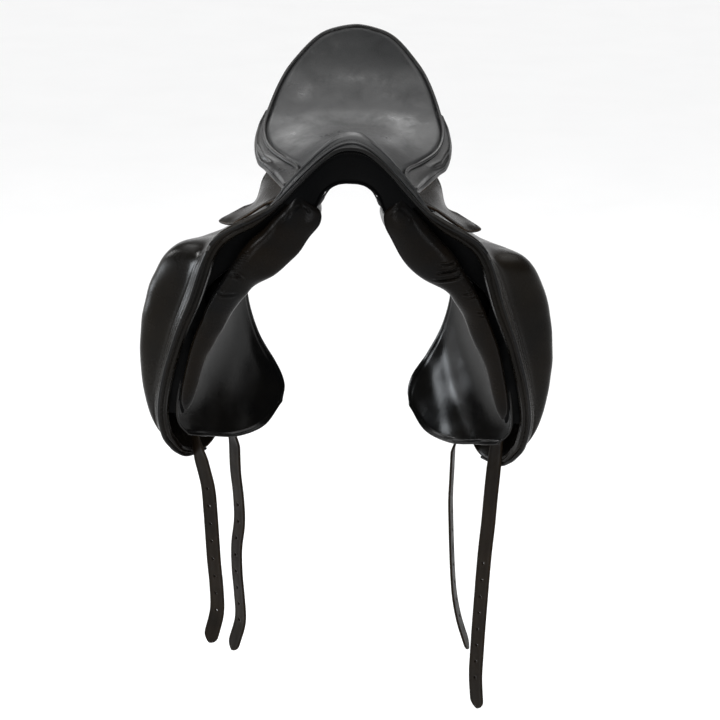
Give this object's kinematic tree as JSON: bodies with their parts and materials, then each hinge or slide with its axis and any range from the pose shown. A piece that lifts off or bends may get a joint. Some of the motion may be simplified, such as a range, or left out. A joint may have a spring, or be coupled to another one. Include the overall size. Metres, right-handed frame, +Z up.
{
  "type": "dressage saddle",
  "caption": "Black leather dressage saddle with a deep dished seat, high cantle, lifting skirts over stirrup bars, long lifting flaps over knee blocks, stuffed panels and hanging girth billets.",
  "frame": {"origin": "on the centreline at mid length, on the underside of the channel lining where the saddle rests on a rack", "axes": "+Z up, -Y towards the pommel, +X towards the rider's left side"},
  "size_m": [0.6172, 0.4858, 1.0431],
  "materials": {
    "seat_leather": "satin, fine grain",
    "flap_leather": "polished, fine grain",
    "panel_leather": "soft, polished, creased",
    "block_leather": "satin",
    "welt_leather": "polished piping",
    "billet_leather": "satin strap",
    "tree_wood": "laminated beech",
    "bar_steel": "forged, satin",
    "web_canvas": "woven web",
    "lining_cloth": "close woven cloth",
    "seat_foam": "foam"
  },
  "bodies": {
    "saddle": {"tree_head": "tree_wood", "gullet_plate": "bar_steel", "left_rail": "tree_wood", "right_rail": "tree_wood", "tree_cantle": "tree_wood", "strainer_web": "web_canvas", "front_girth_web": "web_canvas", "rear_girth_web": "web_canvas", "seat_foam": "seat_foam", "seat_cover": "seat_leather", "seat_welt": "welt_leather", "pommel_welt": "welt_leather", "pommel_facing": "flap_leather", "left_point_pocket": "panel_leather", "right_point_pocket": "panel_leather", "cantle_facing": "flap_leather", "channel_lining": "lining_cloth", "left_jockey": "flap_leather", "right_jockey": "flap_leather", "left_gusset": "panel_leather", "right_gusset": "panel_leather", "left_flap_top": "flap_leather", "right_flap_top": "flap_leather", "left_knee_block": "block_leather", "right_knee_block": "block_leather", "left_sweat_flap": "panel_leather", "right_sweat_flap": "panel_leather", "left_panel": "panel_leather", "right_panel": "panel_leather", "left_front_roll": "panel_leather", "right_front_roll": "panel_leather", "left_stirrup_bar": "bar_steel", "right_stirrup_bar": "bar_steel", "left_bar_rivets": "bar_steel", "right_bar_rivets": "bar_steel", "left_catch_pin": "bar_steel", "right_catch_pin": "bar_steel", "left_front_billet_root": "billet_leather", "left_rear_billet_root": "billet_leather", "right_front_billet_root": "billet_leather", "right_rear_billet_root": "billet_leather"},
    "left_flap": {"left_flap": "flap_leather", "left_flap_welt": "welt_leather"},
    "right_flap": {"right_flap": "flap_leather", "right_flap_welt": "welt_leather"},
    "left_skirt": {"left_skirt": "flap_leather"},
    "right_skirt": {"right_skirt": "flap_leather"},
    "left_front_billet": {"left_front_billet": "billet_leather"},
    "left_rear_billet": {"left_rear_billet": "billet_leather"},
    "right_front_billet": {"right_front_billet": "billet_leather"},
    "right_rear_billet": {"right_rear_billet": "billet_leather"},
    "left_bar_catch": {"left_bar_catch": "bar_steel"},
    "right_bar_catch": {"right_bar_catch": "bar_steel"}
  },
  "joints": [
    {"name": "left_flap_lift", "type": "hinge", "parent": "saddle", "child": "left_flap", "pos_m": [0.2, -0.226, -0.06], "axis": [0.0983, -0.9865, 0.1311], "range_deg": [0, 65]},
    {"name": "right_flap_lift", "type": "hinge", "parent": "saddle", "child": "right_flap", "pos_m": [-0.2, -0.226, -0.06], "axis": [0.0983, 0.9865, -0.1311], "range_deg": [0, 65]},
    {"name": "left_skirt_lift", "type": "hinge", "parent": "saddle", "child": "left_skirt", "pos_m": [0.086, -0.19, 0.006], "axis": [-0.2386, -0.9693, 0.0596], "range_deg": [0, 50]},
    {"name": "right_skirt_lift", "type": "hinge", "parent": "saddle", "child": "right_skirt", "pos_m": [-0.086, -0.19, 0.006], "axis": [-0.2386, 0.9693, -0.0596], "range_deg": [0, 50]},
    {"name": "left_front_billet_swing", "type": "hinge", "parent": "saddle", "child": "left_front_billet", "pos_m": [0.233, -0.1, -0.446], "axis": [0.7071, -0.7071, 0], "range_deg": [-5, 30]},
    {"name": "left_rear_billet_swing", "type": "hinge", "parent": "saddle", "child": "left_rear_billet", "pos_m": [0.173, -0.02, -0.446], "axis": [-0.2079, -0.9781, 0], "range_deg": [-30, 30]},
    {"name": "right_front_billet_swing", "type": "hinge", "parent": "saddle", "child": "right_front_billet", "pos_m": [-0.219, -0.1, -0.446], "axis": [-0.8192, 0.5736, 0], "range_deg": [-5, 35]},
    {"name": "right_rear_billet_swing", "type": "hinge", "parent": "saddle", "child": "right_rear_billet", "pos_m": [-0.173, -0.03, -0.446], "axis": [0.6428, -0.766, 0], "range_deg": [-3, 35]},
    {"name": "left_catch_lift", "type": "hinge", "parent": "saddle", "child": "left_bar_catch", "pos_m": [0.118, -0.0545, -0.0245], "axis": [1, 0, 0], "range_deg": [0, 70]},
    {"name": "right_catch_lift", "type": "hinge", "parent": "saddle", "child": "right_bar_catch", "pos_m": [-0.118, -0.0545, -0.0245], "axis": [1, 0, 0], "range_deg": [0, 70]}
  ]
}
